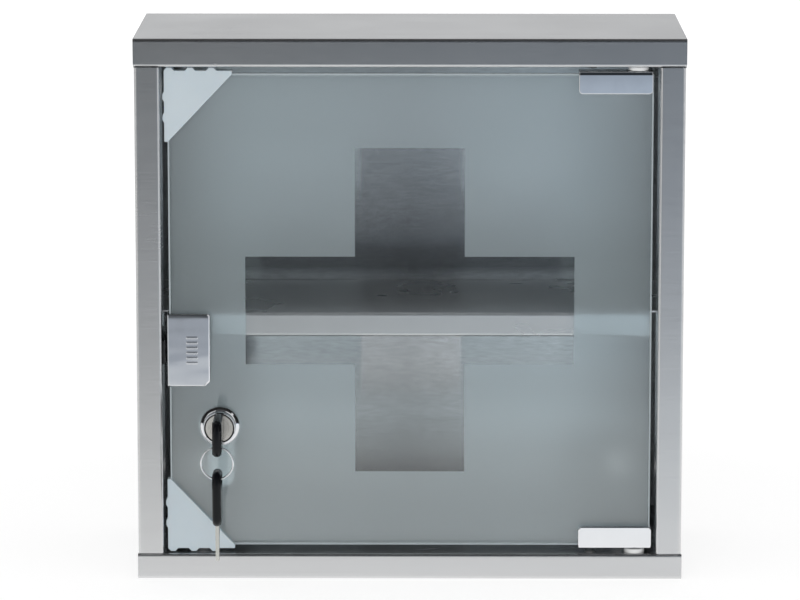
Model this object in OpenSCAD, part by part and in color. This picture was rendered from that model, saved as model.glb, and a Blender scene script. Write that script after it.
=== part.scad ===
// Lockable wall cabinet for medicines: a folded sheet steel box with one shelf and an inset
// glass door that turns on two clip hinges, closes on a push catch and locks with a cam lock.
// Millimetres. +X is to the right of someone facing the door, -Y points at them, +Z is up.
// The origin is the centre of the underside. A depth is counted from the front plane inwards.

/* [Cabinet] */
// Width of the cabinet
body_w = 300; // [290:1:330]
// Height of the cabinet
body_h = 300; // [290:1:330]
// Depth of the cabinet
body_d = 120; // [110:1:150]
// Thickness of the sheet steel
sheet = 1; // [0.8:0.1:1.2]
// Outside radius of a fold
fold_r = 1.8; // [1.6:0.1:2.2]
// Height of the rail above the door
top_rail = 15.5; // [15:0.1:18]
// Height of the rail below the door
bottom_rail = 14.3; // [14:0.1:18]
// Width of the stile on each side of the door
stile_w = 14.5; // [14:0.1:16]
// Depth of the returns around the door opening
return_d = 20; // [18:0.5:20]
// Width of the tabs and rear flanges that the panels are welded by
tab_w = 12; // [8:1:16]

/* [Wall holes] */
// Diameter of the four wall holes
hole_d = 6; // [4:0.5:8]
// Distance between the wall holes across
hole_dx = 240; // [200:5:250]
// Distance between the wall holes up
hole_dz = 220; // [180:5:240]

/* [Shelf] */
// Height of the shelf's top face above the underside
shelf_z = 147; // [146:1:160]
// Depth at which the shelf's front lip stands
shelf_front = 16; // [16:0.5:30]
// Height of the shelf's front lip
shelf_lip = 13.5; // [10:0.5:13.5]

/* [Door] */
// Thickness of the glass
glass_t = 4; // [3.8:0.1:4.2]
// Depth of the glass's front face
glass_inset = 3.5; // [3.4:0.1:3.6]
// Gap between the glass and the left stile
gap_left = 3.8; // [3.6:0.1:4.5]
// Gap between the glass and the right stile
gap_right = 3.2; // [3:0.1:4]
// Gap between the glass and the top rail
gap_top = 3.8; // [3.8:0.1:4.5]
// Gap between the glass and the bottom rail
gap_bottom = 4.2; // [4:0.1:5]
// Length and height of the clear cross in the frosted film
cross_size = 180; // [120:5:200]
// Width of each bar of the cross
cross_bar = 60; // [30:5:70]

/* [Hinges] */
// Distance of the hinge pins from the middle of the cabinet
pin_x = 124; // [122:0.5:125]
// Diameter of the hinge pins
pin_d = 5; // [4:0.5:6]
// Length of each hinge clip along the glass edge
clip_l = 40.5; // [36:0.5:44]
// Height of each hinge clip
clip_h = 12.5; // [11:0.5:16]
// How far the lower clip is set to the right of the upper one
lower_clip_shift = 1.2; // [0:0.1:1.2]
// Diameter of the nylon bush's flange
bush_d = 11; // [10:0.5:13]

/* [Push catch] */
// Width of the push plate on the glass
plate_w = 23.3; // [20:0.1:26]
// Height of the push plate
plate_h = 40.3; // [36:0.1:44]
// Height of the push plate's middle
plate_z = 128.4; // [126:0.1:132]
// Height of the catch's plunger
catch_z = 126; // [124:0.5:126]

/* [Corner guards] */
// Length of a guard along the glass's horizontal edge
guard_w = 37; // [30:0.5:38]
// Length of a guard along the glass's vertical edge
guard_h = 39; // [30:0.5:42]

/* [Lock] */
// Distance of the lock's axis from the middle, to the left
lock_left = 104.4; // [103:0.1:106]
// Height of the lock's axis
lock_z = 85.6; // [84:0.1:90]
// Diameter of the lock's flange
flange_d = 21.8; // [20:0.1:24]
// Diameter of the lock's head
head_d = 17.6; // [17:0.1:19]
// Distance from the lock's axis to the cam's tip
cam_reach = 38; // [37:0.5:40]

/* [Keys] */
// Length of the plastic bow
bow_l = 30; // [28:0.5:32]
// Width of the plastic bow
bow_w = 20; // [19:0.5:20]
// Thickness of the plastic bow
bow_t = 4.8; // [3.5:0.1:5]
// Outside diameter of the key ring
ring_d = 18.5; // [18:0.1:22]
// Diameter of the key ring's wire
ring_wire = 1; // [0.8:0.1:1.2]

/* [Hidden] */
$fn = 64;

// Colours
steel = [0.70, 0.71, 0.72];
bright = [0.84, 0.85, 0.87];
zinc = [0.62, 0.63, 0.62];
clear_glass = [0.72, 0.83, 0.81, 0.45];
frosting = [0.80, 0.86, 0.86, 0.75];
pale_plastic = [0.80, 0.85, 0.87];
white_nylon = [0.93, 0.94, 0.94];
black_plastic = [0.10, 0.11, 0.12];
nickel = [0.78, 0.77, 0.70];

// Cabinet box
front_y = -body_d / 2;
back_y = body_d / 2;
fold_mid = fold_r - sheet / 2;
fold_steps = 6;
weld_gap = 0.1;
joint_gap = 0.15;
side_step = 0.3;
side_x = body_w / 2 - side_step;
side_inner = side_x - sheet;
open_x = body_w / 2 - stile_w;
open_low = bottom_rail;
open_high = body_h - top_rail;

// Shelf
shelf_half = open_x - 3.5;
shelf_back = back_y - sheet - 1.2;
shelf_flange = 10;
lip_return = 6;
wing_depth = return_d + 1.5;

// Door glass and film
glass_left = -open_x + gap_left;
glass_right = open_x - gap_right;
glass_low = open_low + gap_bottom;
glass_high = open_high - gap_top;
glass_back = glass_inset + glass_t;
film_t = 0.2;
film_margin = 1;
lock_hole_d = 18;
film_hole_d = 20;

// Clips on the glass
pad_t = 0.5;
pin_depth = glass_inset + 3;
clip_front = 1;
clip_back = 12;
clip_web = 1.5;
clip_bevel = 2;
clip_corner = 1.5;
clip_right = glass_right - 0.3;
grub_d = 4;
grub_spread = 20;
plate_front = 0.5;
plate_back = 11;
plate_web = 1;
plate_bevel = 0.6;
plate_corner = 2.6;
plate_pad = 0.6;
plate_left = glass_left - plate_web;
ridge_count = 6;
ridge_pitch = 2.8;
ridge_proud = 0.35;

// Hinge bushes
bush_gap = 0.3;
spigot_d = 8;
pin_clearance = 0.05;
hinge_plate_t = 1.5;
hinge_plate_l = 48;
spigot_l = sheet + hinge_plate_t + 0.5;
rivet_d = 3.2;
rivet_head_d = 5.6;
rivet_head_t = 1.1;
rivet_x = pin_x - 24.5;

// Push catch
bracket_t = 1.5;
bracket_front = 6;
bracket_back = 50;
housing_w = 15;
housing_h = 13;
housing_front = 15;
housing_back = 55;
housing_wall = 2;
catch_x = -open_x + bracket_t + housing_w / 2;
plunger_d = 8;
collar_d = 9.6;
collar_bore = 10.4;
plunger_bore = 8.6;
plunger_tip = 11.8;
plunger_end = 31;
magnet_d = 6;
magnet_t = 2;
spigot_tip = 37;
catch_screw_depth = 8.5;
catch_screw_pitch = 7;
spring_d = 7.2;
spring_wire = 0.8;
spring_turns = 8;
spring_steps = 16;
spring_sides = 6;

// Corner guards
guard_over = 1.7;
guard_bump = 1.7;
guard_wall = 1.1;
guard_front = glass_inset - guard_wall;
guard_back = glass_back + film_t + guard_wall;
guard_tip = 2;
bump_pitch = 11.5;
bump_base = 5.6;
bump_top = 2.6;

// Lock
lock_x = -lock_left;
head_front = -3.1;
cone_front = 1;
cone_back = 2.6;
flange_back = glass_inset - pad_t;
barrel_d = 16;
barrel_end = 18;
plug_d = 12;
plug_face_d = 15;
face_pocket_d = 16.4;
face_pocket_end = -0.5;
plug_shoulder = 21.5;
cam_t = 2;
cam_w = 14;
cam_square = 6;
keyway_end = 14.6;
wafer_count = 5;
wafer_pitch = 2.5;
wafer_first = 2;
wafer_t = 0.8;

// Keys
blade_w = 7.5;
blade_t = 2;
blade_l = 20;
tang_l = 6;
key_clearance = 0.3;
shoulder = 6;
slot_l = 14;
slot_w = 5;
slot_web = 3.6;
slot_centre = bow_l - slot_web - slot_w / 2;
bow_corner = 6;
ring_r = (ring_d - ring_wire) / 2;
ring_inner = ring_r - ring_wire / 2;
lobe = (bow_w - slot_l) / 2;
lobe_z = lock_z - bow_w / 2 + lobe / 2;
ring_depth = -shoulder - slot_centre;
ring_z = lobe_z + norm([lobe, bow_t]) / 2 + key_clearance - ring_inner;
spare_play = 0.7;
spare_top = ring_z - ring_r + ring_wire / 2 + spare_play + slot_web;

// Y coordinate of a given depth behind the front plane
function at(depth) = front_y + depth;

// Low and high end of a width around its middle
function span(middle, width) = [middle - width / 2, middle + width / 2];

// Unit vector from one point to another
function toward(a, b) = (b - a) / norm(b - a);

// Extrudes a drawing of (y, z) along X, centred
module along_x(length) {
    rotate([90, 0, 90]) linear_extrude(length, center = true) children();
}

// Extrudes a drawing of (x, z) along Y, between two depths
module along_y(from, to) {
    translate([0, at(to), 0]) rotate([90, 0, 0]) linear_extrude(to - from) children();
}

// Box between two corners; the Y limits are depths
module block(x, depth, z) {
    translate([x[0], at(depth[0]), z[0]]) cube([x[1] - x[0], depth[1] - depth[0], z[1] - z[0]]);
}

// Round bar along Y at (x, z), between two depths
module bar_y(x, z, from, to, d, d_end = undef) {
    translate([x, at(from), z]) rotate([-90, 0, 0])
        cylinder(h = to - from, d1 = d, d2 = is_undef(d_end) ? d : d_end);
}

// Upright round bar at (x, depth), between two heights
module bar_z(x, depth, low, high, d) {
    translate([x, at(depth), low]) cylinder(h = high - low, d = d);
}

// Left-hand normal of a unit vector
function left_of(run) = [-run.y, run.x];

// Points of one side of a folded sheet: side is 1 left of the path and -1 right of it
function sheet_side(path, side) = let (last = len(path) - 1) [
    for (i = [0:last])
        let (run_in = toward(path[max(i - 1, 0)], path[max(i, 1)]),
             run_out = toward(path[min(i, last - 1)], path[min(i + 1, last)]),
             turn = sign(cross(run_in, run_out)),
             centre = path[i] + fold_mid * (run_out - run_in),
             r = fold_mid - turn * side * sheet / 2)
        each i == 0 || i == last
            ? [path[i] + side * sheet / 2 * left_of(run_in)]
            : [for (step = [0:fold_steps]) let (a = 90 * step / fold_steps)
                centre - turn * r * (cos(a) * left_of(run_in) + sin(a) * left_of(run_out))]
];

// Section of a folded sheet whose middle follows a path of right angles
module folded_sheet(path) {
    right = sheet_side(path, -1);
    polygon(concat(sheet_side(path, 1), [for (i = [len(right) - 1:-1:0]) right[i]]));
}

// Rounded rectangle, centred
module rounded_rect(size, r) {
    square([size.x - 2 * r, size.y], center = true);
    square([size.x, size.y - 2 * r], center = true);
    for (x = [-1, 1], y = [-1, 1])
        translate([x * (size.x / 2 - r), y * (size.y / 2 - r)]) circle(r);
}

// Rectangle from (0, 0) with two cut corners on the side away from the Y axis
module cut_corner_rect(size, low_cut, high_cut) {
    polygon([[0, 0], [size.x - low_cut, 0], [size.x, low_cut],
             [size.x, size.y - high_cut], [size.x - high_cut, size.y], [0, size.y]]);
}

// ---- Cabinet ----

// Rail profile of the top or bottom panel: sheet, front flange and return
module rail_section(sheet_z, edge_z) {
    folded_sheet([[back_y, sheet_z], [front_y + sheet / 2, sheet_z],
                  [front_y + sheet / 2, edge_z], [at(return_d), edge_z]]);
}

// Room at both ends of a rail for the side panels' webs
module side_notches(low, high) {
    for (side = [-1, 1]) translate([side * body_w / 2, 0, 0])
        block([-body_w / 2 + side_inner - weld_gap, body_w / 2 - side_inner + weld_gap],
              [sheet, body_d + 1], [low, high]);
}

// Holes of the hinge at one rail: the bush's spigot and the plate's rivet
module hinge_holes(z) {
    bar_z(pin_x, pin_depth, z - 5, z + 5, spigot_d);
    bar_z(rivet_x, pin_depth, z - 5, z + 5, rivet_d);
}

module top_panel() {
    color(steel) difference() {
        along_x(body_w) rail_section(body_h - sheet / 2, open_high + sheet / 2);
        side_notches(open_high - 1, body_h - sheet);
        hinge_holes(open_high);
    }
}

module bottom_panel() {
    color(steel) difference() {
        along_x(body_w) rail_section(sheet / 2, open_low - sheet / 2);
        side_notches(sheet, open_low + 1);
        hinge_holes(open_low);
    }
}

// Right side: web, rear flange, stile with its return, and the welding tabs
module side_panel() {
    web_x = side_x - sheet / 2;
    flange_y = back_y - 1.5 * sheet;
    low = open_low + joint_gap;
    high = open_high - joint_gap;
    base = sheet + weld_gap;
    translate([0, 0, low]) linear_extrude(high - low)
        folded_sheet([[side_x - tab_w, flange_y], [web_x, flange_y], [web_x, front_y + sheet / 2],
                      [open_x + sheet / 2, front_y + sheet / 2], [open_x + sheet / 2, at(return_d)]]);
    for (z = [[base, low], [high, body_h - base]])
        block([side_inner, side_x], [sheet + weld_gap, body_d - sheet], z);
    for (z = [base, body_h - base - sheet])
        block([side_x - tab_w, web_x], [return_d + 5, body_d - 15], [z, z + sheet]);
}

module right_side_panel() {
    color(steel) side_panel();
}

module left_side_panel() {
    color(steel) difference() {
        mirror([1, 0, 0]) side_panel();
        catch_screw_row(-open_x - 2 * sheet, -open_x + 1, 3);
    }
}

module back_panel() {
    base = sheet + weld_gap;
    color(steel) difference() {
        block([-side_x, side_x], [body_d - sheet, body_d], [base, body_h - base]);
        for (x = [-1, 1], z = [-1, 1])
            bar_y(x * hole_dx / 2, body_h / 2 + z * hole_dz / 2, body_d - 5, body_d + 5, hole_d);
    }
}

module shelf() {
    deck_z = shelf_z - sheet / 2;
    lip_y = at(shelf_front) + sheet / 2;
    lip_z = shelf_z - shelf_lip + sheet / 2;
    flange_x = side_inner - weld_gap - sheet / 2;
    color(steel) {
        along_x(2 * shelf_half)
            folded_sheet([[lip_y + lip_return, lip_z], [lip_y, lip_z], [lip_y, deck_z],
                          [shelf_back - sheet / 2, deck_z],
                          [shelf_back - sheet / 2, shelf_z - shelf_flange]]);
        for (side = [0, 1]) mirror([side, 0, 0])
            along_y(wing_depth, body_d / 2 + shelf_back - fold_r)
                folded_sheet([[shelf_half - sheet, deck_z], [flange_x, deck_z],
                              [flange_x, shelf_z - shelf_flange]]);
    }
}

// ---- Hinge parts on the cabinet ----

// Stiffening plate inside a rail, on the return's hidden face
module hinge_plate(low) {
    color(zinc) difference() {
        block([open_x - 1 - hinge_plate_l, open_x - 1], [2, return_d], [low, low + hinge_plate_t]);
        hinge_holes(low);
    }
}

module upper_hinge_plate() {
    hinge_plate(open_high + sheet);
}

module lower_hinge_plate() {
    hinge_plate(open_low - sheet - hinge_plate_t);
}

// Rivet with its head on the door side of the return; up is 1 where that side faces up
module plate_rivet(z, up) {
    through = sheet + hinge_plate_t;
    translate([rivet_x, at(pin_depth), z]) rotate([up > 0 ? 0 : 180, 0, 0]) {
        cylinder(h = rivet_head_t, d1 = rivet_head_d, d2 = rivet_d);
        translate([0, 0, -through]) cylinder(h = through, d = rivet_d);
        translate([0, 0, -through - 1]) cylinder(h = 1, d = rivet_d + 1.4);
    }
}

module hinge_plate_rivets() {
    color(zinc) {
        plate_rivet(open_high, -1);
        plate_rivet(open_low, 1);
    }
}

// Nylon bush for a hinge pin: spigot through the return and a flange under the clip
module hinge_bush(z, up, flange_t) {
    color(white_nylon) translate([pin_x, at(pin_depth), z]) rotate([up > 0 ? 0 : 180, 0, 0])
        difference() {
            union() {
                cylinder(h = flange_t, d = bush_d);
                translate([0, 0, -spigot_l]) cylinder(h = spigot_l, d = spigot_d);
            }
            translate([0, 0, -spigot_l - 1])
                cylinder(h = spigot_l + flange_t + 2, d = pin_d + 2 * pin_clearance);
        }
}

module upper_hinge_bush() {
    hinge_bush(open_high, -1, gap_top - clip_web - bush_gap);
}

module lower_hinge_bush() {
    hinge_bush(open_low, 1, gap_bottom - clip_web - bush_gap);
}

// ---- Push catch ----

// Two bars along X through the bracket and the left return
module catch_screw_row(from, to, d) {
    for (z = [-1, 1])
        translate([from, at(catch_screw_depth), catch_z + z * catch_screw_pitch / 2])
            rotate([0, 90, 0]) cylinder(h = to - from, d = d);
}

module latch_bracket() {
    z = span(catch_z, housing_h);
    face = -open_x + bracket_t;
    color(black_plastic) difference() {
        union() {
            block([-open_x, face], [bracket_front, bracket_back], z);
            block([-open_x, face + housing_w], [return_d + 2, bracket_back], [z[0] - bracket_t, z[0]]);
        }
        catch_screw_row(-open_x - 1, face + 1, 3);
        catch_screw_row(face - 1, face + 1, 5);
    }
}

module latch_screws() {
    face = -open_x + bracket_t;
    color(zinc) difference() {
        union() {
            catch_screw_row(face - 1, face, 5);
            catch_screw_row(-open_x - 4, face - 1, 3);
        }
        for (z = [-1, 1])
            block([face - 0.5, face + 1], span(catch_screw_depth, 0.8),
                  span(catch_z + z * catch_screw_pitch / 2, 5.4));
    }
}

module latch_housing() {
    x = span(catch_x, housing_w);
    z = span(catch_z, housing_h);
    color(black_plastic) difference() {
        block(x, [housing_front, housing_back], z);
        bar_y(catch_x, catch_z, housing_front - 1, housing_front + housing_wall + 1, plunger_bore);
        bar_y(catch_x, catch_z, housing_front + housing_wall, housing_back - housing_wall, collar_bore);
    }
}

// Spring of round wire, swept along a helix
module latch_spring() {
    r = (spring_d - spring_wire) / 2;
    start = plunger_end + spring_wire / 2 + 0.1;
    length = housing_back - housing_wall - start - spring_wire / 2 - 0.1;
    rings = spring_turns * spring_steps;
    function ring(i) = let (a = 360 * i / spring_steps)
        [for (s = [0:spring_sides - 1]) let (b = 360 * s / spring_sides)
            [(r + spring_wire / 2 * cos(b)) * cos(a), (r + spring_wire / 2 * cos(b)) * sin(a),
             length * i / rings + spring_wire / 2 * sin(b)]];
    points = [for (i = [0:rings]) each ring(i)];
    walls = [for (i = [0:rings - 1], s = [0:spring_sides - 1])
        let (next = (s + 1) % spring_sides, n = spring_sides)
            [i * n + s, (i + 1) * n + s, (i + 1) * n + next, i * n + next]];
    first = [for (s = [0:spring_sides - 1]) s];
    end = [for (s = [spring_sides - 1:-1:0]) rings * spring_sides + s];
    color(zinc) translate([catch_x, at(start), catch_z]) rotate([-90, 0, 0])
        polyhedron(points, concat([first, end], walls));
}

module latch_plunger() {
    color(black_plastic) difference() {
        union() {
            bar_y(catch_x, catch_z, plunger_tip, plunger_end, plunger_d);
            bar_y(catch_x, catch_z, housing_front + housing_wall + 0.3, 20, collar_d);
            bar_y(catch_x, catch_z, plunger_end, spigot_tip, plunger_d / 2);
        }
        bar_y(catch_x, catch_z, plunger_tip - 1, plunger_tip + magnet_t - pad_t, magnet_d);
    }
}

module latch_magnet() {
    color(zinc)
        bar_y(catch_x, catch_z, plunger_tip - pad_t, plunger_tip + magnet_t - pad_t, magnet_d);
}

// ---- Door ----

module door_glass() {
    color(clear_glass) difference() {
        block([glass_left, glass_right], [glass_inset, glass_back], [glass_low, glass_high]);
        bar_y(lock_x, lock_z, glass_inset - 1, glass_back + 1, lock_hole_d);
    }
}

module frosted_film() {
    x = [glass_left + film_margin, glass_right - film_margin];
    z = [glass_low + film_margin, glass_high - film_margin];
    depth = [glass_back, glass_back + film_t];
    middle = (glass_low + glass_high) / 2;
    color(frosting) difference() {
        block(x, depth, z);
        block(span(0, cross_size), depth + [-1, 1], span(middle, cross_bar));
        block(span(0, cross_bar), depth + [-1, 1], span(middle, cross_size));
        bar_y(lock_x, lock_z, glass_back - 1, glass_back + 1, film_hole_d);
    }
}

// Hinge clip round the glass's bottom edge: the web is below the glass
module hinge_clip(shift) {
    web_z = glass_low - clip_web;
    left = clip_right - clip_l + shift;
    inner_front = glass_inset - pad_t;
    inner_back = glass_back + pad_t;
    color(bright) difference() {
        intersection() {
            translate([left + clip_l / 2, 0, 0]) along_x(clip_l)
                polygon([[at(clip_front), web_z + clip_bevel], [at(clip_front) + clip_bevel / 2, web_z],
                         [at(clip_back), web_z], [at(clip_back), web_z + clip_h],
                         [at(inner_back), web_z + clip_h], [at(inner_back), glass_low],
                         [at(inner_front), glass_low], [at(inner_front), web_z + clip_h],
                         [at(clip_front), web_z + clip_h]]);
            along_y(0, clip_back + 1) translate([left + clip_l / 2, web_z]) rotate(90)
                translate([0, -clip_l / 2]) cut_corner_rect([clip_h, clip_l], clip_corner, clip_corner);
        }
        bar_z(pin_x, pin_depth, web_z - 1, glass_low + 1, pin_d);
        grub_row(glass_low, inner_back - 1, clip_back + 1, grub_d);
    }
}

// Two bars along Y in the back wall of a hinge clip
module grub_row(glass_edge, from, to, d) {
    for (x = [-1, 1])
        bar_y(clip_right - clip_l / 2 + x * grub_spread / 2, glass_edge + clip_h / 2 - 0.5, from, to, d);
}

// Turns what is made for the glass's bottom edge over to its top edge
module at_top_edge() {
    translate([0, 0, glass_low + glass_high]) mirror([0, 0, 1]) children();
}

module upper_hinge_clip() {
    at_top_edge() hinge_clip(0);
}

module lower_hinge_clip() {
    hinge_clip(lower_clip_shift);
}

module upper_hinge_pin() {
    color(bright) bar_z(pin_x, pin_depth, glass_high, open_high + spigot_l - 0.5, pin_d);
}

module lower_hinge_pin() {
    color(bright) bar_z(pin_x, pin_depth, open_low - spigot_l + 0.5, glass_low, pin_d);
}

// Pads between a clip and the two faces of the glass
module clip_pads() {
    x = [clip_right - clip_l + 2.5, clip_right - 0.5];
    z = [glass_low + 0.5, glass_low + clip_h - clip_web - 1];
    block(x, [glass_inset - pad_t, glass_inset], z);
    block(x, [glass_back + film_t, glass_back + pad_t], z);
}

module hinge_pads() {
    color(black_plastic) {
        clip_pads();
        at_top_edge() clip_pads();
    }
}

// Grub screw along Y with a hexagon socket
module grub_screw(x, z, from, to) {
    difference() {
        bar_y(x, z, from, to, grub_d);
        translate([x, at(to - 1.5), z]) rotate([-90, 0, 0]) cylinder(h = 2, d = 2.3, $fn = 6);
    }
}

module clip_grub_screws() {
    for (x = [-1, 1])
        grub_screw(clip_right - clip_l / 2 + x * grub_spread / 2, glass_low + clip_h / 2 - 0.5,
                   glass_back + pad_t, clip_back - 0.3);
}

module hinge_grub_screws() {
    color(zinc) {
        clip_grub_screws();
        at_top_edge() clip_grub_screws();
    }
}

// ---- Push plate ----

// Heights of the two grub screws of the push plate
plate_grub_z = span(plate_z, 26);
plate_grub_x = plate_left + plate_w / 2;

// Outline of the push plate's front, shrunk by inset
module plate_outline(inset) {
    translate([plate_left + inset, plate_z - plate_h / 2 + inset])
        cut_corner_rect([plate_w - 2 * inset, plate_h - 2 * inset], plate_corner, plate_corner / 3);
}

module push_plate() {
    z = span(plate_z, plate_h);
    inner_front = glass_inset - plate_pad;
    inner_back = glass_back + pad_t;
    right = plate_left + plate_w;
    color(bright) difference() {
        union() {
            hull() {
                along_y(plate_front, plate_front + 0.1) plate_outline(plate_bevel);
                along_y(plate_front + plate_bevel, inner_front) plate_outline(0);
            }
            block([plate_left, glass_left], [inner_front - 0.5, plate_back], z);
            block([plate_left, right - 2.5], [inner_back, plate_back], z);
            for (i = [0:ridge_count - 1])
                block(span(plate_left + plate_w / 2 + 1.9, 6),
                      [plate_front - ridge_proud, plate_front + 0.2],
                      span(plate_z + (i - (ridge_count - 1) / 2) * ridge_pitch, 1));
        }
        for (gz = plate_grub_z) bar_y(plate_grub_x, gz, inner_back - 1, plate_back + 1, grub_d);
    }
}

module push_plate_pads() {
    x = [glass_left + 0.5, plate_left + plate_w - 3];
    z = span(plate_z, plate_h - 2);
    color(black_plastic) {
        block(x, [glass_inset - plate_pad, glass_inset], z);
        block(x, [glass_back + film_t, glass_back + pad_t], z);
    }
}

module push_plate_grub_screws() {
    color(zinc) for (gz = plate_grub_z)
        grub_screw(plate_grub_x, gz, glass_back + pad_t, plate_back - 0.3);
}

// ---- Corner guards ----

// Row of tapered bumpers along X, under y = 0
module bumpers(count, height) {
    for (i = [0:count - 1]) translate([bump_base / 2 + i * bump_pitch, 0])
        polygon([[-bump_base / 2, 0], [-bump_top / 2, -height], [bump_top / 2, -height], [bump_base / 2, 0]]);
}

// Guard for the glass's bottom left corner: a pocket with bumpers outside
module corner_guard() {
    left = glass_left - guard_over;
    low = glass_low - guard_over;
    color(pale_plastic) difference() {
        along_y(guard_front, guard_back) translate([left, low]) {
            polygon([[0, 0], [guard_w, 0], [guard_w, guard_tip], [guard_tip, guard_h], [0, guard_h]]);
            bumpers(3, guard_bump);
            translate([0, bump_pitch]) mirror([1, 0]) rotate(90) bumpers(2, guard_bump / 2);
        }
        block([glass_left, 0], [glass_inset, glass_back + film_t], [glass_low, body_h]);
    }
}

module lower_corner_guard() {
    corner_guard();
}

module upper_corner_guard() {
    at_top_edge() corner_guard();
}

// ---- Lock ----

// Round bar on the lock's axis between two depths
module on_lock(from, to, d, d_end = undef) {
    bar_y(lock_x, lock_z, from, to, d, d_end);
}

// Square or flat bar on the lock's axis between two depths
module flat_on_lock(from, to, w, h) {
    block(span(lock_x, w), [from, to], span(lock_z, h));
}

module lock_body() {
    color(bright) difference() {
        union() {
            on_lock(head_front, cone_front, head_d);
            on_lock(cone_front, cone_back, head_d + 0.2, flange_d);
            on_lock(cone_back, flange_back, flange_d);
            on_lock(flange_back, barrel_end, barrel_d);
        }
        on_lock(head_front - 1, face_pocket_end, face_pocket_d);
        on_lock(face_pocket_end - 1, barrel_end + 1, plug_d + 2 * pin_clearance);
    }
}

module lock_gasket() {
    color(black_plastic) difference() {
        union() {
            on_lock(flange_back, glass_inset, flange_d - 0.8);
            on_lock(glass_inset, glass_back, lock_hole_d - 0.2);
        }
        on_lock(flange_back - 1, glass_back + 1, barrel_d);
    }
}

module lock_washer() {
    color(zinc) difference() {
        on_lock(glass_back + film_t, glass_back + film_t + 1, 24);
        on_lock(glass_back - 1, glass_back + 3, barrel_d + 0.4);
    }
}

module lock_nut() {
    start = glass_back + film_t + 1;
    color(zinc) difference() {
        translate([lock_x, at(start), lock_z]) rotate([-90, 0, 0]) cylinder(h = 4, d = 23, $fn = 6);
        on_lock(start - 1, start + 5, barrel_d);
    }
}

// Opening that the blade slides in, between two depths
module keyway(from, to) {
    flat_on_lock(from, to, blade_t + 2 * key_clearance, blade_w + 2 * key_clearance);
}

module lock_plug() {
    color(bright) difference() {
        union() {
            on_lock(head_front + 0.2, face_pocket_end - 0.4, plug_face_d);
            on_lock(face_pocket_end - 0.4, barrel_end + 0.3, plug_d);
            on_lock(barrel_end + 0.3, plug_shoulder, plug_d - 1);
            flat_on_lock(plug_shoulder, plug_shoulder + cam_t, cam_square, cam_square);
        }
        keyway(head_front - 1, keyway_end);
        for (i = [0:wafer_count - 1])
            flat_on_lock(wafer_first + i * wafer_pitch - 0.05,
                         wafer_first + i * wafer_pitch + wafer_t + 0.05, 6.2, 9.6);
        on_lock(keyway_end + 1.5, plug_shoulder + cam_t + 1, 4);
    }
}

module wafer_tumblers() {
    color(nickel) difference() {
        for (i = [0:wafer_count - 1])
            flat_on_lock(wafer_first + i * wafer_pitch, wafer_first + i * wafer_pitch + wafer_t, 6, 9.4);
        keyway(head_front, keyway_end);
    }
}

// Cam that hangs down when open and hooks behind the left return when turned
module lock_cam() {
    color(zinc) difference() {
        along_y(plug_shoulder, plug_shoulder + cam_t) translate([lock_x, lock_z]) {
            circle(d = cam_w + 2);
            translate([-cam_w / 2, -cam_reach + cam_w / 2]) square([cam_w, cam_reach - cam_w / 2]);
            translate([0, -cam_reach + cam_w / 2]) circle(d = cam_w);
        }
        flat_on_lock(plug_shoulder - 1, plug_shoulder + cam_t + 1, cam_square, cam_square);
    }
}

module cam_washer() {
    back = plug_shoulder + cam_t;
    color(zinc) difference() {
        on_lock(back, back + 0.8, 11);
        on_lock(back - 1, back + 2, 4);
    }
}

module cam_screw() {
    back = plug_shoulder + cam_t + 0.8;
    color(zinc) difference() {
        union() {
            on_lock(back, back + 2.4, 7.5);
            on_lock(keyway_end + 2, back, 4);
        }
        flat_on_lock(back + 1.2, back + 3, 1, 5);
        flat_on_lock(back + 1.2, back + 3, 5, 1);
    }
}

// ---- Keys ----
// A key is drawn in its own plane: it points along +X with the bow's shoulder at x = 0.

// Place of the key in the lock: its plane is upright and it points into the door
module in_lock() {
    translate([lock_x, at(-shoulder), lock_z]) along_x(bow_t) children();
}

// Place of the spare key: it hangs from the ring and points down
module on_ring(thickness) {
    translate([lock_x, at(ring_depth), spare_top - bow_l]) rotate([-90, 0, 0])
        along_x(thickness) children();
}

module bow_outline() {
    difference() {
        translate([-bow_l / 2, 0]) rounded_rect([bow_l, bow_w], bow_corner);
        translate([-slot_centre, 0]) rounded_rect([slot_w, slot_l], slot_w / 2 - 0.1);
        translate([-tang_l, -blade_w / 2]) square([tang_l + 1, blade_w]);
    }
}

// Halves of the bow around the tang: a full outline with the tang's pocket left open
module tang_cover() {
    translate([-tang_l - 1, -blade_w / 2 - 1]) square([tang_l + 1, blade_w + 2]);
}

module blade_outline() {
    tip = blade_w / 3;
    translate([-tang_l, -blade_w / 2])
        polygon([[0, 0], [tang_l + blade_l - tip, 0], [tang_l + blade_l, tip],
                 [tang_l + blade_l, blade_w - tip], [tang_l + blade_l - tip, blade_w], [0, blade_w]]);
}

// Two thin cheeks that close the bow over the tang; across is the key's thickness direction
module tang_cheeks() {
    cheek = (bow_t - blade_t) / 2;
    for (side = [-1, 1]) translate([side * (bow_t - cheek) / 2, 0, 0])
        along_x(cheek) tang_cover();
}

module key_blade() {
    color(nickel) translate([lock_x, at(-shoulder), lock_z]) along_x(blade_t) blade_outline();
}

module key_bow() {
    color(black_plastic) {
        in_lock() bow_outline();
        translate([lock_x, at(-shoulder), lock_z]) tang_cheeks();
    }
}

module key_ring() {
    color(bright) translate([lock_x, at(ring_depth), ring_z]) rotate([90, 0, 0])
        rotate_extrude() translate([ring_r, 0]) circle(d = ring_wire, $fn = 24);
}

module spare_key_blade() {
    color(nickel) on_ring(blade_t) blade_outline();
}

module spare_key_bow() {
    color(black_plastic) {
        on_ring(bow_t) bow_outline();
        translate([lock_x, at(ring_depth), spare_top - bow_l]) rotate([-90, 0, 0]) tang_cheeks();
    }
}

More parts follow.
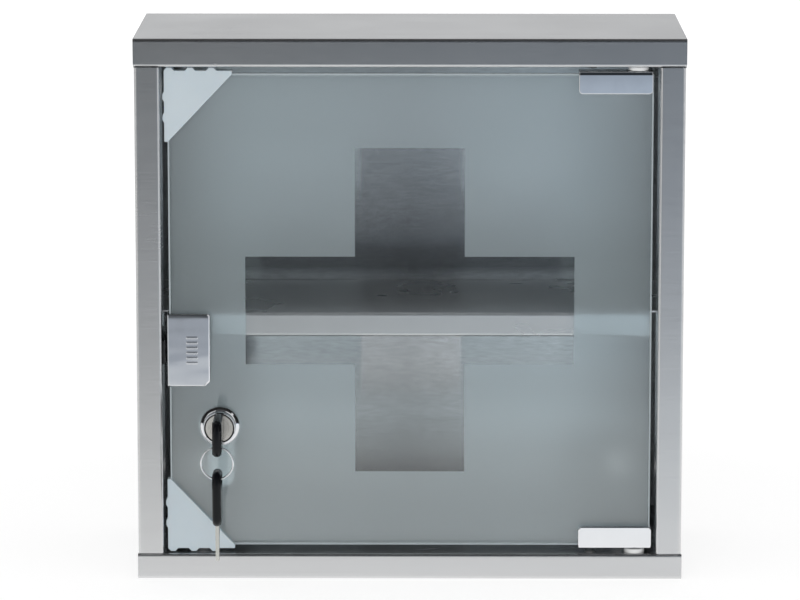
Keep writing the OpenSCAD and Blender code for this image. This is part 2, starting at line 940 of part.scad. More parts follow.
top_panel();
bottom_panel();
left_side_panel();
right_side_panel();
back_panel();
shelf();
upper_hinge_plate();
lower_hinge_plate();
hinge_plate_rivets();
upper_hinge_bush();
lower_hinge_bush();
latch_bracket();
latch_screws();
latch_housing();
latch_spring();
latch_plunger();
latch_magnet();
door_glass();
frosted_film();
upper_hinge_clip();
lower_hinge_clip();
upper_hinge_pin();
lower_hinge_pin();
hinge_pads();
hinge_grub_screws();
push_plate();
push_plate_pads();
push_plate_grub_screws();
upper_corner_guard();
lower_corner_guard();
lock_body();
lock_gasket();
lock_washer();
lock_nut();
lock_plug();
wafer_tumblers();
lock_cam();
cam_washer();
cam_screw();
key_blade();
key_bow();
key_ring();
spare_key_blade();
spare_key_bow();
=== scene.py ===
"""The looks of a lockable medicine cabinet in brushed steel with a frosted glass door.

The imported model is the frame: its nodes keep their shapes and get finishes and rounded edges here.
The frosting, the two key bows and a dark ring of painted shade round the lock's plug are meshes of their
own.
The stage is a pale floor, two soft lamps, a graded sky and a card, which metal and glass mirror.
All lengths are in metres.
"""
import math

import bmesh
import bpy
from mathutils import Matrix, Vector


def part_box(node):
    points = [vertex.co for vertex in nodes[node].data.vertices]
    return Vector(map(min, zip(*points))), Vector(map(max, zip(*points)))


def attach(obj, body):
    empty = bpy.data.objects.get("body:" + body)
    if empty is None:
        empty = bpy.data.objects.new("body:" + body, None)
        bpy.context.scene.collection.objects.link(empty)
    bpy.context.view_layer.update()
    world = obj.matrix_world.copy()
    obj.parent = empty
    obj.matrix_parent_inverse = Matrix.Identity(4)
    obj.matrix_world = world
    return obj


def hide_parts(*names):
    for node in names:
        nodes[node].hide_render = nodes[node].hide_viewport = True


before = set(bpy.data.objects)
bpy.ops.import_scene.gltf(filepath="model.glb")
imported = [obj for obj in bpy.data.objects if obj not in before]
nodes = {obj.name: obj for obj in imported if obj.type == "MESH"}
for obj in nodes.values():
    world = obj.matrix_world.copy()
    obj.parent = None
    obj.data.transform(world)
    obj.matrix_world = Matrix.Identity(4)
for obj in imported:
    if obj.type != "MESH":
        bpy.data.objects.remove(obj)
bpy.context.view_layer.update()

MM = 0.001

front_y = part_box("left_side_panel")[0].y
ground_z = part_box("bottom_panel")[0].z
top_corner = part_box("top_panel")[1]
half_width, top_z = top_corner.x, top_corner.z
plug_low, plug_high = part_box("lock_plug")
lock_x, lock_z = (plug_low.x + plug_high.x) / 2, (plug_low.z + plug_high.z) / 2


# ---------------------------------------------------------------- nodes

def grey(value):
    return (value, value, value)


def cool(level, shift=1.0):
    """A grey that leans to blue, as the dark side of a daylight studio does."""
    return (level * (1 - 0.07 * shift), level, level * (1 + 0.12 * shift))


class Nodes:
    """Short ways to add nodes to a node tree."""

    def __init__(self, tree):
        self.tree = tree

    def add(self, kind, **settings):
        node = self.tree.nodes.new("ShaderNode" + kind)
        for key, value in settings.items():
            setattr(node, key, value)
        return node

    def wire(self, source, target):
        self.tree.links.new(source, target)

    def feed(self, target, value):
        """Sets an input to a number or colour, or wires an output to it."""
        if isinstance(value, bpy.types.NodeSocket):
            self.wire(value, target)
        else:
            target.default_value = value

    def spot(self, output="Object"):
        """Where a point of the object is. With "Generated" in a world's tree, where a ray goes."""
        return self.add("TexCoord").outputs[output]

    def axes(self, output="Object"):
        """The same as three numbers, X, Y and Z."""
        split = self.add("SeparateXYZ")
        self.wire(self.spot(output), split.inputs[0])
        return split.outputs

    def noise(self, scale, detail=2.0, roughness=0.5):
        """A noise from 0 to 1. The scale is the number of its cycles in a metre, for each axis."""
        mapping = self.add("Mapping")
        mapping.inputs["Scale"].default_value = scale
        self.wire(self.spot(), mapping.inputs["Vector"])
        node = self.add("TexNoise")
        node.inputs["Scale"].default_value = 1.0
        node.inputs["Detail"].default_value = detail
        node.inputs["Roughness"].default_value = roughness
        self.wire(mapping.outputs["Vector"], node.inputs["Vector"])
        return node.outputs["Fac"]

    def remap(self, value, low, high, to_low, to_high, smooth=False):
        """Takes low to to_low and high to to_high, and stays there beyond them."""
        node = self.add("MapRange")
        node.interpolation_type = "SMOOTHSTEP" if smooth else "LINEAR"
        self.wire(value, node.inputs["Value"])
        for key, number in (("From Min", low), ("From Max", high), ("To Min", to_low), ("To Max", to_high)):
            node.inputs[key].default_value = number
        return node.outputs["Result"]

    def maths(self, operation, a, b=0.0):
        node = self.add("Math", operation=operation)
        self.feed(node.inputs[0], a)
        self.feed(node.inputs[1], b)
        return node.outputs[0]

    def vectors(self, operation, a, b=(0, 0, 0)):
        node = self.add("VectorMath", operation=operation)
        self.feed(node.inputs[0], a)
        self.feed(node.inputs[1], b)
        return node.outputs["Value" if operation == "LENGTH" else "Vector"]

    def blend(self, factor, a, b, mode="MIX"):
        node = self.add("Mix", data_type="RGBA", blend_type=mode)
        self.feed(node.inputs["Factor"], factor)
        for socket, value in ((node.inputs[6], a), (node.inputs[7], b)):
            self.feed(socket, value if isinstance(value, bpy.types.NodeSocket) else (*value, 1.0))
        return node.outputs[2]

    def ramp(self, value, stops):
        """A colour ramp through (position, level or colour) stops."""
        node = self.add("ValToRGB")
        bands = node.color_ramp.elements
        for index, (position, level) in enumerate(stops):
            band = bands[index] if index < 2 else bands.new(position)
            band.position = position
            band.color = (*(grey(level) if isinstance(level, float) else level), 1.0)
        self.wire(value, node.inputs["Fac"])
        return node.outputs["Color"]

    def swing(self, value, spread, low=0.3, high=0.7):
        """A noise as a small change, up and down by the spread."""
        return self.remap(value, low, high, -spread, spread)


class Finish(Nodes):
    """A material with one Principled shader."""

    def __init__(self, name, colour, metallic=0.0, roughness=0.5, **inputs):
        self.material = bpy.data.materials.new(name)
        self.material.use_nodes = True
        super().__init__(self.material.node_tree)
        self.shader = self.tree.nodes["Principled BSDF"]
        self.output = self.tree.nodes["Material Output"]
        self.shader.inputs["Base Color"].default_value = (*colour, 1.0)
        self.shader.inputs["Metallic"].default_value = metallic
        self.shader.inputs["Roughness"].default_value = roughness
        for key, value in inputs.items():
            self.shader.inputs[key.replace("_", " ")].default_value = value

    def base(self, value):
        self.wire(value, self.shader.inputs["Base Color"])

    def rough(self, value):
        self.wire(value, self.shader.inputs["Roughness"])

    def bump(self, height, strength, distance):
        """Makes small hills of a noise. The distance is how high they are."""
        node = self.add("Bump")
        node.inputs["Strength"].default_value = strength
        node.inputs["Distance"].default_value = distance
        self.wire(height, node.inputs["Height"])
        self.wire(node.outputs["Normal"], self.shader.inputs["Normal"])

    def emission(self, colour=None, strength=1.0):
        node = self.add("Emission")
        if colour is not None:
            self.wire(colour, node.inputs["Color"])
        self.feed(node.inputs["Strength"], strength)
        return node.outputs["Emission"]

    def mix_shaders(self, factor, a, b):
        node = self.add("MixShader")
        for socket, source in zip(node.inputs, (factor, a, b)):
            self.wire(source, socket)
        return node.outputs["Shader"]

    def surface(self, shader):
        self.wire(shader, self.output.inputs["Surface"])

    def let_lamps_through(self, tint):
        """Shadow rays pass this surface with that tint, so lamps light what is behind it."""
        clear = self.add("BsdfTransparent")
        clear.inputs["Color"].default_value = (*tint, 1.0)
        shadow = self.add("LightPath").outputs["Is Shadow Ray"]
        self.surface(self.mix_shaders(shadow, self.shader.outputs["BSDF"], clear.outputs["BSDF"]))


# ---------------------------------------------------------------- materials

def brushed_steel(name, long_axes, tangent, roughness, anisotropic, level=0.66, contrast=1.0,
                  relief=0.6, grain=(70.0, 1100.0), painted_shading=(), painted_shading_depth=None):
    """Sheet steel with fine lines along some axes. tangent is the direction that highlights stretch in.

    contrast and relief: how strongly the lines show in the colour and in the surface.
    grain: cycles of the lines in a metre, along and across them.
    painted_shading: (axis, from, to, stops) of soft painted light and shade along each axis.
    painted_shading_depth: only what lies in front of this Y has the painted light and shade."""
    look = Finish(name, grey(level), metallic=1.0, roughness=roughness, Anisotropic=anisotropic)

    def stretched(along, across, *settings):
        return look.noise(tuple(along if axis in long_axes else across for axis in "xyz"), *settings)

    lines = stretched(*grain, 3.0, 0.65)
    broad = stretched(4.0, 90.0, 2.0, 0.5)
    cloud = look.noise((14, 14, 14), 3.0, 0.55)
    tone = look.maths("ADD", look.swing(lines, 0.05 * contrast, 0.25, 0.75), look.swing(broad, 0.012))
    tone = look.maths("ADD", tone, look.swing(cloud, 0.012))
    value = look.maths("ADD", tone, level)
    place = look.axes()
    # painted light and shade: each ramp lightens or darkens the colour by where the point lies
    for axis, start, end, stops in painted_shading:
        shade = look.ramp(look.remap(place[axis], start, end, 0.0, 1.0), stops)
        if painted_shading_depth:
            behind = look.remap(place["Y"], painted_shading_depth, painted_shading_depth + 0.1 * MM, 0.0, 1.0)
            shade = look.blend(behind, shade, (1, 1, 1))
        value = look.maths("MULTIPLY", value, shade)
    colour = look.add("CombineColor")
    for socket, hue in zip(colour.inputs, (0.995, 1.0, 1.008)):
        look.wire(look.maths("MULTIPLY", value, hue), socket)
    look.base(colour.outputs[0])
    uneven = look.maths("ADD", look.swing(lines, 0.025 * relief), look.swing(cloud, 0.015))
    look.rough(look.maths("ADD", uneven, roughness))
    look.bump(lines, 0.02 * relief, 0.01 * MM)
    if tangent == "up":
        up = look.add("CombineXYZ")
        up.inputs["Z"].default_value = 1.0
        direction = up.outputs[0]
    else:
        direction = look.vectors("CROSS_PRODUCT", look.add("NewGeometry").outputs["Normal"], (1, 0, 0))
    look.wire(direction, look.shader.inputs["Tangent"])
    return look.material


def zinc():
    look = Finish("zinc_plate", (0.55, 0.56, 0.56), metallic=1.0, roughness=0.3)
    spangle = look.noise((900, 900, 900), 3.0, 0.6)
    look.base(look.blend(spangle, (0.44, 0.45, 0.46), (0.68, 0.68, 0.66)))
    look.rough(look.remap(spangle, 0.3, 0.7, 0.24, 0.4))
    look.bump(spangle, 0.1, 0.02 * MM)
    return look.material


def chrome(name="chrome", wave=0.0):
    """Chrome plating with faint smudges. wave is how strongly a pressed sheet bends what it mirrors."""
    look = Finish(name, (0.74, 0.75, 0.77), metallic=1.0, roughness=0.06)
    if wave:
        look.bump(look.noise((18, 18, 70), 1.0, 0.4), wave, 2 * MM)
    smudge = look.noise((60, 60, 60), 4.0, 0.6)
    look.rough(look.remap(smudge, 0.45, 0.75, 0.035, 0.09))
    look.base(look.blend(smudge, (0.76, 0.77, 0.79), (0.70, 0.71, 0.73)))
    return look.material


def moulded(name, colour, roughness, grain, specular=0.5):
    """Moulded plastic: a fine even grain, and faint flow marks in its tone."""
    look = Finish(name, colour, roughness=roughness, Specular_IOR_Level=specular)
    flow = look.noise((35, 35, 35), 3.0, 0.5)
    darker = tuple(0.88 * c for c in colour)
    lighter = tuple(min(1.0, 1.06 * c) for c in colour)
    look.base(look.blend(flow, darker, lighter))
    fine = look.noise((2600, 2600, 2600), 1.0, 0.5)
    look.rough(look.remap(flow, 0.3, 0.7, roughness * 0.9, roughness * 1.15))
    look.bump(fine, grain, 0.03 * MM)
    return look.material


def guard_plastic():
    look = Finish("guard_plastic", (0.56, 0.64, 0.69), roughness=0.42, Subsurface_Weight=0.25,
                  Subsurface_Radius=(0.6, 0.8, 1.0), Subsurface_Scale=1.5 * MM)
    flow = look.noise((40, 40, 40), 3.0, 0.5)
    look.base(look.blend(flow, (0.535, 0.615, 0.665), (0.60, 0.675, 0.72)))
    fine = look.noise((1800, 1800, 1800), 1.0, 0.5)
    look.bump(fine, 0.12, 0.03 * MM)
    return look.material


def rubber():
    look = Finish("gasket_rubber", (0.02, 0.02, 0.02), roughness=0.75)
    fine = look.noise((1500, 1500, 1500), 2.0, 0.5)
    look.base(look.blend(fine, grey(0.014), grey(0.03)))
    look.bump(fine, 0.2, 0.03 * MM)
    return look.material


def turned_face():
    """The lock's plug: satin metal with fine rings round its axis."""
    look = Finish("lock_face", (0.66, 0.64, 0.60), metallic=1.0, roughness=0.24)
    rings_per_metre = 4500
    offset = look.vectors("SUBTRACT", look.spot(), (lock_x, 0, lock_z))
    from_axis = look.vectors("LENGTH", look.vectors("MULTIPLY", offset, (1, 0, 1)))
    rings = look.add("TexNoise", noise_dimensions="1D")
    rings.inputs["Scale"].default_value = 1.0
    rings.inputs["Detail"].default_value = 3.0
    look.wire(look.maths("MULTIPLY", from_axis, rings_per_metre), rings.inputs["W"])
    look.rough(look.remap(rings.outputs["Fac"], 0.3, 0.7, 0.18, 0.34))
    look.bump(rings.outputs["Fac"], 0.15, 0.02 * MM)
    return look.material


def key_metal():
    look = Finish("key_metal", (0.50, 0.50, 0.47), metallic=1.0, roughness=0.22)
    wear = look.noise((300, 300, 120), 3.0, 0.6)
    look.base(look.blend(wear, (0.46, 0.46, 0.43), (0.56, 0.56, 0.53)))
    look.rough(look.remap(wear, 0.3, 0.7, 0.16, 0.3))
    return look.material


def door_glass():
    """Clear float glass."""
    look = Finish("door_glass", (0.975, 0.99, 0.99), roughness=0.0, IOR=1.5, Transmission_Weight=1.0)
    look.let_lamps_through((0.94, 0.96, 0.96))
    return look.material


def ground_edge():
    """The arris round the glass, ground dull and pale."""
    look = Finish("ground_edge", (0.56, 0.63, 0.66), roughness=0.5)
    grit = look.noise((1200, 1200, 1200), 2.0, 0.5)
    look.base(look.blend(grit, (0.50, 0.57, 0.60), (0.62, 0.69, 0.72)))
    return look.material


def frosting():
    """The etched look: it blurs what is behind it, is a little milky, and has painted shading by height."""
    look = Finish("frosting", (0.90, 0.95, 0.965), roughness=0.36, IOR=1.35, Transmission_Weight=0.92)
    cloud = look.noise((26, 26, 26), 3.0, 0.5)
    tint = look.blend(cloud, (0.835, 0.912, 0.944), (0.865, 0.932, 0.964))
    place = look.axes()
    height = look.remap(place["Z"], ground_z, top_z, 0.0, 1.0)
    # painted light and shade by height: lighter low down, darker below the shelf and towards the top
    painted_shading_by_height = look.ramp(height, ((0.1, 1.04), (0.19, 1.03), (0.25, 0.95), (0.3, 0.93), (0.35, 0.84),
                                   (0.45, 0.87), (0.5, 0.93), (0.62, 0.95), (0.68, 0.91), (0.74, 0.83),
                                   (0.84, 0.78)))
    tint = look.blend(1.0, tint, painted_shading_by_height, mode="MULTIPLY")
    # painted shade: the frosting a little darker towards its left and right edges
    painted_shade_aside = look.remap(look.maths("ABSOLUTE", place["X"]), 90 * MM, 130 * MM, 0.0, 1.0, smooth=True)
    tint = look.blend(1.0, tint, look.blend(painted_shade_aside, (1, 1, 1), grey(0.94)), mode="MULTIPLY")
    look.base(tint)
    look.let_lamps_through((0.66, 0.69, 0.70))
    return look.material


# ---------------------------------------------------------------- pieces

def ring_round_lock(radius, count):
    """Points in XZ of a circle round the lock's axis."""
    turns = [2 * math.pi * i / count for i in range(count)]
    return [(lock_x + radius * math.cos(turn), lock_z + radius * math.sin(turn)) for turn in turns]


def new_object(name, mesh, material):
    mesh.materials.append(material)
    piece = bpy.data.objects.new(name, mesh)
    bpy.context.scene.collection.objects.link(piece)
    return piece


def frosted_sheet(material):
    """The frosting, with the clear cross left open. It is a hair behind the glass, so the two never meet."""
    low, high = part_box("frosted_film")
    middle_z = (low.z + high.z) / 2
    reach, half, window, gap = 90 * MM, 30 * MM, 10 * MM, 0.05 * MM
    cross = [(-half, -reach), (half, -reach), (half, -half), (reach, -half), (reach, half), (half, half),
             (half, reach), (-half, reach), (-half, half), (-reach, half), (-reach, -half), (-half, -half)]
    loops = [[(low.x, low.z), (high.x, low.z), (high.x, high.z), (low.x, high.z)],
             [(x, z + middle_z) for x, z in cross],
             ring_round_lock(window, 48)]
    bm = bmesh.new()
    edges = []
    for loop in loops:
        points = [bm.verts.new((x, low.y + gap, z)) for x, z in loop]
        edges += [bm.edges.new((points[i - 1], points[i])) for i in range(len(points))]
    bmesh.ops.triangle_fill(bm, use_beauty=True, edges=edges, normal=(0, -1, 0))
    for corner in bmesh.ops.extrude_face_region(bm, geom=list(bm.faces))["geom"]:
        if isinstance(corner, bmesh.types.BMVert):
            corner.co.y = high.y - gap
    bmesh.ops.recalc_face_normals(bm, faces=list(bm.faces))
    # the fill lists its triangles in another order each run, so they are sorted along a slanted line
    slant = Vector((1.0, 7.3, 3.7))
    bm.verts.sort(key=lambda corner: corner.co.dot(slant))
    bm.faces.sort(key=lambda face: face.calc_center_median().dot(slant))
    mesh = bpy.data.meshes.new("frosting_sheet")
    bm.to_mesh(mesh)
    bm.free()
    sheet = new_object("frosting_sheet", mesh, material)
    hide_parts("frosted_film")
    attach(sheet, "door")


def mesh_of(curve):
    """The finished mesh of a curve, which is then deleted."""
    bpy.context.scene.collection.objects.link(curve)
    graph = bpy.context.evaluated_depsgraph_get()
    mesh = bpy.data.meshes.new_from_object(curve.evaluated_get(graph), depsgraph=graph)
    bpy.data.objects.remove(curve)
    return mesh


def rounded_loop(length, width, corner, centre=(0, 0), steps=8):
    """Points of a rectangle with round corners."""
    points = []
    for sx, sy, start in ((1, 1, 0), (-1, 1, 90), (-1, -1, 180), (1, -1, 270)):
        for i in range(steps + 1):
            angle = math.radians(start + 90 * i / steps)
            points.append((centre[0] + sx * (length / 2 - corner) + corner * math.cos(angle),
                           centre[1] + sy * (width / 2 - corner) + corner * math.sin(angle)))
    return points


def key_bow(name, node, body, material, length_axis):
    """A moulded bow with full round edges. It lies in the YZ plane and its slot is near the outer end."""
    low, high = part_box(node)
    middle = (low + high) / 2
    thickness = high.x - low.x
    length, width, corner, edge = 30 * MM, 20 * MM, 6 * MM, 2.1 * MM
    slot_length, slot_width, slot_corner, slot_to_end = 5 * MM, 14 * MM, 2.4 * MM, 6.1 * MM
    slot = rounded_loop(slot_length, slot_width, slot_corner, (length / 2 - slot_to_end, 0))
    data = bpy.data.curves.new(name, "CURVE")
    data.dimensions = "2D"
    data.fill_mode = "BOTH"
    data.extrude = thickness / 2 - edge
    data.bevel_depth = edge
    data.bevel_resolution = 4
    data.offset = -edge
    for loop in (rounded_loop(length, width, corner), slot):
        line = data.splines.new("POLY")
        line.points.add(len(loop) - 1)
        for point, (u, v) in zip(line.points, loop):
            point.co = (u, v, 0, 1)
        line.use_cyclic_u = True
    mesh = mesh_of(bpy.data.objects.new(name, data))
    # the drawing's X goes along the bow towards its outer end, and its Z across the thickness
    along = Vector((0, -1, 0)) if length_axis == "y" else Vector((0, 0, 1))
    across = Vector((1, 0, 0))
    turn = Matrix((along, across.cross(along), across)).transposed().to_4x4()
    mesh.transform(Matrix.Translation(middle) @ turn)
    mesh.materials.clear()
    for face in mesh.polygons:
        face.use_smooth = True
    piece = new_object(name, mesh, material)
    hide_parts(node)
    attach(piece, body)


def painted_shade_ring(material):
    """A dark ring of painted shade in the gap between the lock's plug and its head."""
    head_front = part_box("lock_body")[0].y
    inner, outer, front, back = 7.55 * MM, 8.15 * MM, head_front + 0.7 * MM, head_front + 2.5 * MM
    count = 64
    rings = [(ring_round_lock(radius, count), y)
             for radius, y in ((inner, front), (outer, front), (outer, back), (inner, back))]
    vertices = [(ring[i][0], y, ring[i][1]) for i in range(count) for ring, y in rings]
    faces = [(4 * i + k, 4 * i + (k + 1) % 4, 4 * ((i + 1) % count) + (k + 1) % 4, 4 * ((i + 1) % count) + k)
             for i in range(count) for k in range(4)]
    mesh = bpy.data.meshes.new("painted_shade_ring")
    mesh.from_pydata(vertices, [], faces)
    painted_ring = new_object("painted_shade_ring", mesh, material)
    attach(painted_ring, "door")


def finish_node(name, material, round_edge, segments, merge_planes=False):
    """Gives a CAD node its material and, where it has sharp edges that catch light, a small bevel."""
    piece = nodes[name]
    piece.data.materials.clear()
    piece.data.materials.append(material)
    if not round_edge:
        return
    weld = piece.modifiers.new("weld", "WELD")
    weld.merge_threshold = 0.001 * MM
    if merge_planes:
        planes = piece.modifiers.new("planes", "DECIMATE")
        planes.decimate_type = "DISSOLVE"
        planes.angle_limit = math.radians(0.3)
    bevel = piece.modifiers.new("edge", "BEVEL")
    bevel.width = round_edge
    bevel.segments = segments
    bevel.limit_method = "ANGLE"
    bevel.angle_limit = math.radians(35)
    bevel.use_clamp_overlap = False
    bevel.loop_slide = False
    bevel.harden_normals = segments > 1
    bevel.miter_outer = "MITER_ARC"


# soft painted light and shade, as the photo shows it: axis, from, to, (position from 0 to 1, level) stops
# painted shade: the top panel a little darker towards its right end
top_painted_shade = ("X", -half_width, half_width, ((0.0, 1.0), (0.6, 1.0), (1.0, 0.95)))
# painted shade: the bottom panel darker inside, from about 2 mm behind its front edge
bottom_painted_shade = ("Y", front_y, front_y + 25 * MM, ((0.0, 1.0), (0.08, 1.0), (0.3, 0.6), (1.0, 0.55)))
# painted light and shade: the shelf darker towards its left end, lighter towards its right end
shelf_painted_light_and_shade = ("X", -half_width, half_width,
                ((0.0, 0.84), (0.2, 0.93), (0.5, 1.0), (0.8, 1.06), (0.87, 1.12), (0.93, 1.38), (1.0, 1.38)))
# painted on the back wall by height: reflection of the bright floor at its foot, light under the shelf,
# shade over it
wall_painted_light_and_shade_up = ("Z", ground_z, top_z,
                  ((0.0, 0.78), (0.08, 0.72), (0.12, 0.47), (0.175, 0.44), (0.205, 0.49), (0.23, 0.56),
                   (0.29, 0.56), (0.38, 0.84), (0.44, 1.10), (0.50, 1.12), (0.515, 0.55), (0.60, 0.56),
                   (0.72, 0.88), (0.80, 0.96), (1.0, 0.96)))
# painted light on the back wall, left and right of the middle, stronger on the right
wall_painted_light_across = ("X", -half_width, half_width,
                      ((0.1, 1.0), (0.22, 1.18), (0.34, 1.14), (0.5, 1.0), (0.62, 1.24), (0.78, 1.4),
                       (0.88, 1.0)))
# the back wall's painted light and shade stays on its inside, in front of this Y
inside_of_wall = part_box("back_panel")[1].y - 0.5 * MM

steel_wide = brushed_steel("steel_wide", "x", "across", roughness=0.25, anisotropic=0.92, level=0.645,
                           contrast=0.6, painted_shading=[top_painted_shade])
steel_shelf = brushed_steel("steel_shelf", "x", "across", roughness=0.28, anisotropic=0.9, level=0.69,
                            contrast=0.0, relief=0.0, painted_shading=[shelf_painted_light_and_shade])
steel_wall = brushed_steel("steel_wall", "x", "across", roughness=0.13, anisotropic=1.0, level=0.60,
                           contrast=1.5, relief=0.03, grain=(150.0, 750.0),
                           painted_shading=[wall_painted_light_and_shade_up, wall_painted_light_across], painted_shading_depth=inside_of_wall)
steel_base = brushed_steel("steel_base", "x", "across", roughness=0.25, anisotropic=0.92, contrast=0.6,
                           painted_shading=[bottom_painted_shade])
steel_side = brushed_steel("steel_side", "xy", "up", roughness=0.25, anisotropic=0.92, contrast=0.6)
zinc_plate = zinc()
chrome_plate = chrome()
pressed_chrome = chrome("pressed_chrome", wave=0.12)
nylon = moulded("white_nylon", (0.82, 0.83, 0.83), roughness=0.42, grain=0.08)
black_plastic = moulded("black_plastic", (0.028, 0.030, 0.033), roughness=0.42, grain=0.15)
key_plastic = moulded("key_plastic", (0.004, 0.0045, 0.006), roughness=0.16, grain=0.03, specular=0.2)
guards = guard_plastic()
gasket = rubber()
lock_face = turned_face()
key_blank = key_metal()

# material, round edge in mm, segments of its bevel, nodes
finishes = (
    (steel_wide, 0.12, 2, "top_panel"),
    (steel_base, 0.12, 2, "bottom_panel"),
    (steel_shelf, 0.12, 2, "shelf"),
    (steel_wall, 0.12, 2, "back_panel"),
    (steel_side, 0.12, 2, "left_side_panel right_side_panel"),
    (zinc_plate, 0.1, 2, "upper_hinge_plate lower_hinge_plate hinge_plate_rivets latch_screws latch_magnet"),
    (zinc_plate, 0.1, 2, "hinge_grub_screws push_plate_grub_screws"),
    (zinc_plate, 0.1, 2, "lock_washer lock_nut lock_cam cam_washer cam_screw"),
    (zinc_plate, 0, 0, "latch_spring"),
    (nylon, 0.3, 2, "upper_hinge_bush lower_hinge_bush"),
    (black_plastic, 0.2, 2, "latch_bracket latch_housing latch_plunger hinge_pads push_plate_pads"),
    (chrome_plate, 0.7, 3, "upper_hinge_clip lower_hinge_clip"),
    (pressed_chrome, 0.25, 3, "push_plate"),
    (chrome_plate, 0, 0, "upper_hinge_pin lower_hinge_pin key_ring"),
    (chrome_plate, 0.15, 2, "lock_body"),
    (lock_face, 0.08, 2, "lock_plug"),
    (guards, 0.35, 3, "upper_corner_guard lower_corner_guard"),
    (gasket, 0, 0, "lock_gasket"),
    (key_blank, 0, 0, "wafer_tumblers"),
    (key_blank, 0.1, 2, "key_blade spare_key_blade"),
)
for material, round_edge, segments, names in finishes:
    for name in names.split():
        finish_node(name, material, round_edge * MM, segments)

key_bow("bow", "key_bow", "key", key_plastic, length_axis="y")
key_bow("spare_bow", "spare_key_bow", "spare_key", key_plastic, length_axis="z")
painted_shade_ring(gasket)
finish_node("door_glass", door_glass(), 0.9 * MM, 1, merge_planes=True)
nodes["door_glass"].data.materials.append(ground_edge())
nodes["door_glass"].modifiers["edge"].material = 1
frosted_sheet(frosting())


# ---------------------------------------------------------------- stage

floor_size = 12
card_distance = 0.77    # in front of the door
card_width = 3.0
card_height = 1.3
card_picture = 0.5      # its graded part, from its foot up
camera_distance = 2.30  # in front of the door
camera_height = 0.58
camera_aside = 7.4 * MM
camera_tilt = 10.0      # degrees down
camera_turn = 0.317     # degrees to the left


def stage_plane(name, size_x, size_y, material):
    """A flat sheet in the XY plane round its own origin."""
    mesh = bpy.data.meshes.new(name)
    x, y = size_x / 2, size_y / 2
    mesh.from_pydata([(-x, -y, 0), (x, -y, 0), (x, y, 0), (-x, y, 0)], [], [(0, 1, 2, 3)])
    plane = new_object(name, mesh, material)
    return plane


def floor_material():
    """Pale floor. Metal sees it bright at the cabinet and dimmer further out, as under one soft lamp."""
    look = Finish("floor", grey(0.5), roughness=0.9, Specular_IOR_Level=0.0)
    place = look.axes()
    away = look.remap(place["Y"], front_y, front_y - card_distance, 0.0, 1.0)
    across = look.remap(place["X"], -0.25, 0.25, 0.0, 1.0)
    lean = look.blend(across, (0.98, 0.98, 0.96), (1.08, 1.13, 1.16))
    lean = look.blend(look.remap(away, 0.05, 0.3, 0.0, 1.0), (1, 1, 1), lean)
    stops = ((0.0, 1.08), (0.39, 0.96), (0.71, cool(0.66, 0.5)), (0.8, cool(0.58, 0.7)), (0.84, cool(0.43)),
             (1.0, cool(0.42)))
    for_metal = look.emission(look.blend(1.0, look.ramp(away, stops), lean, mode="MULTIPLY"))
    reach = look.vectors("LENGTH", look.spot())
    pale = look.emission(strength=look.remap(reach, 0.3, 1.2, 0.72, 1.0))
    lit = look.add("AddShader")
    look.wire(pale, lit.inputs[0])
    look.wire(look.shader.outputs["BSDF"], lit.inputs[1])
    bounce = look.emission(strength=0.75)
    path = look.add("LightPath").outputs
    seen = look.mix_shaders(path["Is Camera Ray"], bounce, lit.outputs["Shader"])
    mirrored = look.maths("MAXIMUM", path["Is Glossy Ray"], path["Is Transmission Ray"])
    look.surface(look.mix_shaders(mirrored, seen, for_metal))
    return look.material


def card_material():
    """The card that metal and glass mirror. It is dark, with a thin lighter line at its foot, a soft
    lighter band at half the cabinet's height, and light ends."""
    look = Finish("card", grey(0.2), roughness=1.0)
    place = look.axes()
    foot = -card_height / 2
    height = look.remap(place["Y"], foot, foot + card_picture, 0.0, 1.0)
    levels = ((0.0, 0.40), (0.008, 0.38), (0.02, 0.08), (0.09, 0.08), (0.13, 0.14), (0.20, 0.28),
              (0.31, 0.45), (0.34, 0.45), (0.39, 0.24), (0.47, 0.08), (1.0, 0.03))
    bands = look.ramp(height, [(position, cool(level)) for position, level in levels])
    ends = look.remap(look.maths("ABSOLUTE", place["X"]), 0.40, 0.50, 0.0, 1.0, smooth=True)
    across = look.remap(place["X"], -0.25, 0.25, 0.0, 1.0)
    lean = look.blend(across, (0.95, 0.95, 0.90), (1.16, 1.26, 1.34))
    middle = look.blend(1.0, bands, lean, mode="MULTIPLY")
    look.surface(look.emission(look.blend(ends, middle, grey(0.8))))
    return look.material


def mirrored_card():
    """Stands in front of the cabinet, out of the camera's sight, and lights nothing."""
    card = stage_plane("mirrored_card", card_width, card_height, card_material())
    card.location = (0, front_y - card_distance, ground_z + card_height / 2)
    card.rotation_euler = (math.radians(90), 0, 0)
    card.visible_camera = False
    card.visible_diffuse = False
    card.visible_shadow = False


def soft_lamp(name, place, target, size, power):
    """A wide plain lamp. Metal and glass don't mirror it."""
    data = bpy.data.lights.new(name, "AREA")
    data.shape = "RECTANGLE"
    data.size, data.size_y = size
    data.energy = power
    lamp = bpy.data.objects.new(name, data)
    bpy.context.scene.collection.objects.link(lamp)
    lamp.location = place
    lamp.rotation_euler = (Vector(target) - Vector(place)).to_track_quat("-Z", "Y").to_euler()
    lamp.visible_camera = False
    lamp.visible_glossy = False


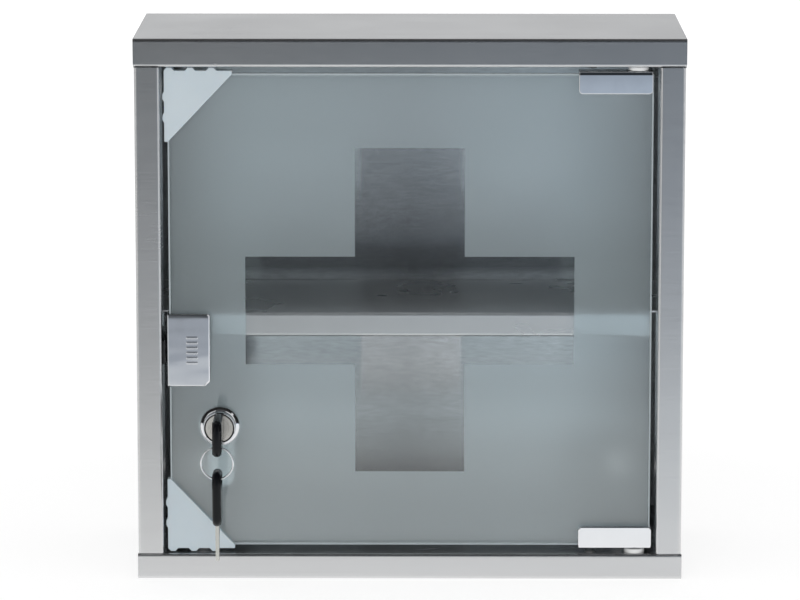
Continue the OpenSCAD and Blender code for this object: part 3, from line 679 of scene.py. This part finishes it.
def world_light():
    """White where the camera looks past the object, and grey for dull surfaces. Metal mirrors it by
    height, with black flags over the cabinet, and glass shows it darker towards the top."""
    world = bpy.data.worlds.new("studio")
    bpy.context.scene.world = world
    world.use_nodes = True
    sky = Nodes(world.node_tree)
    toward = sky.axes("Generated")

    def graded(shift, stops):
        return sky.ramp(toward["Z"], [(height, cool(level, shift)) for height, level in stops])

    def soft_step(value, start, end):
        return sky.remap(value, start, end, 0.0, 1.0, smooth=True)

    mirrored = graded(0.1, ((0.0, 1.02), (0.42, 0.92), (0.70, 0.22), (1.0, 0.14)))
    dull = graded(0.0, ((0.0, 0.70), (0.5, 0.50), (1.0, 0.35)))
    through = graded(0.1, ((0.0, 1.04), (0.42, 0.95), (0.70, 0.03), (0.85, 0.0)))
    # black flags in one arch over the cabinet, from the left side to the right
    beside = soft_step(sky.maths("ABSOLUTE", sky.maths("ADD", toward["Y"], 0.15)), 0.36, 0.26)
    above = soft_step(sky.maths("ADD", toward["Z"], sky.maths("MULTIPLY", toward["X"], -0.2)), -0.31, -0.26)
    flagged = sky.blend(sky.maths("MULTIPLY", beside, above), mirrored, grey(0.02))
    path = sky.add("LightPath").outputs
    light = sky.blend(path["Is Glossy Ray"], dull, flagged)
    light = sky.blend(path["Is Transmission Ray"], light, through)
    light = sky.blend(path["Is Camera Ray"], light, (1, 1, 1))
    sky.wire(light, world.node_tree.nodes["Background"].inputs["Color"])


def camera():
    data = bpy.data.cameras.new("view")
    data.lens = 192.8
    data.sensor_width = 36.0
    data.shift_y = -0.04
    eye = bpy.data.objects.new("view", data)
    bpy.context.scene.collection.objects.link(eye)
    eye.location = (camera_aside, front_y - camera_distance, camera_height)
    eye.rotation_euler = (math.radians(90 - camera_tilt), 0, math.radians(camera_turn))
    bpy.context.scene.camera = eye


camera()
world_light()
stage_plane("floor", floor_size, floor_size, floor_material()).location.z = ground_z - 0.2 * MM
mirrored_card()
soft_lamp("overhead", place=(0.0, -0.25, 1.5), target=(0, 0, 0.15), size=(1.3, 1.1), power=3)
soft_lamp("front_fill", place=(-0.15, -1.7, 0.35), target=(0, 0, 0.12), size=(1.0, 0.6), power=7)

bpy.context.scene.view_settings.view_transform = "Standard"
